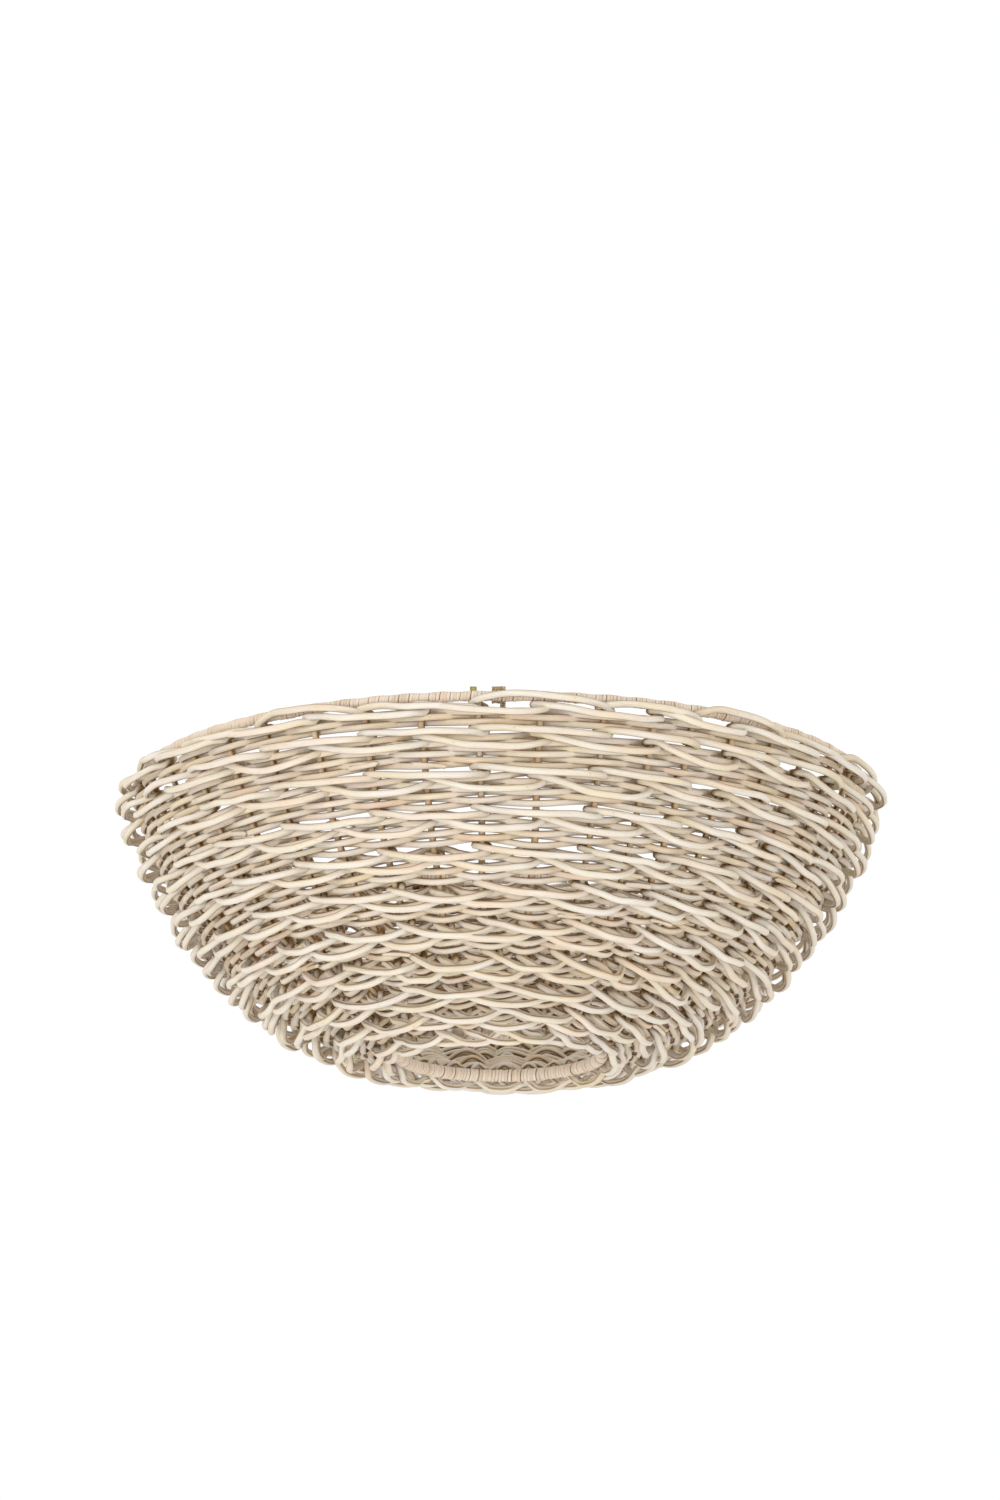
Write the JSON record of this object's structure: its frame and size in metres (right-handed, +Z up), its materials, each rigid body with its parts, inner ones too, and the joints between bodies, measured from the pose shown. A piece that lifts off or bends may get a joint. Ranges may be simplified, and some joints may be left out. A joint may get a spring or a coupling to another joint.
{
  "type": "woven cane bowl shade",
  "caption": "Wide bowl of woven pale cane with tiers of standing loops, a bound rim hoop and a bound open hole at the bottom.",
  "frame": {"origin": "on the bowl's axis, at the level that the lowest loops rest on", "axes": "+Z up along the bowl's axis, the wide open rim at the top and the small open hole at the bottom; -Y towards the side that has the hanger clip and strap on its rim"},
  "size_m": [0.6099, 0.61, 0.235],
  "materials": {
    "loop_cane": "whitewashed rattan core, matt, palest on the outer loops",
    "weave_cane": "whitewashed rattan core, matt, browner in the crevices",
    "stake_cane": "whitewashed rattan core, matt",
    "cane_binding": "thin flat cane, satin-matt",
    "hoop_rod": "bare rattan pole",
    "clip_metal": "dull brass",
    "strap_fibre": "coarse brown fibre"
  },
  "bodies": {
    "root": {"base_binding": "cane_binding", "base_hoop": "hoop_rod", "hanger_clip": "clip_metal", "hanger_strap": "strap_fibre", "lower_loops_01": "loop_cane", "lower_loops_02": "loop_cane", "lower_loops_03": "loop_cane", "lower_loops_04": "loop_cane", "lower_loops_05": "loop_cane", "lower_loops_06": "loop_cane", "lower_loops_07": "loop_cane", "lower_loops_08": "loop_cane", "lower_loops_09": "loop_cane", "lower_loops_10": "loop_cane", "lower_loops_11": "loop_cane", "rim_binding": "cane_binding", "rim_hoop": "hoop_rod", "stakes": "stake_cane", "upper_loops_01": "loop_cane", "upper_loops_02": "loop_cane", "upper_loops_03": "loop_cane", "upper_loops_04": "loop_cane", "upper_loops_05": "loop_cane", "upper_loops_06": "loop_cane", "upper_loops_07": "loop_cane", "upper_loops_08": "loop_cane", "upper_loops_09": "loop_cane", "upper_loops_10": "loop_cane", "upper_loops_11": "loop_cane", "weave_band_01": "weave_cane", "weave_band_02": "weave_cane", "weave_band_03": "weave_cane", "weave_band_04": "weave_cane", "weave_band_05": "weave_cane", "weave_band_06": "weave_cane", "weave_band_07": "weave_cane", "weave_band_08": "weave_cane", "weave_band_09": "weave_cane", "weave_band_10": "weave_cane"}
  },
  "joints": []
}
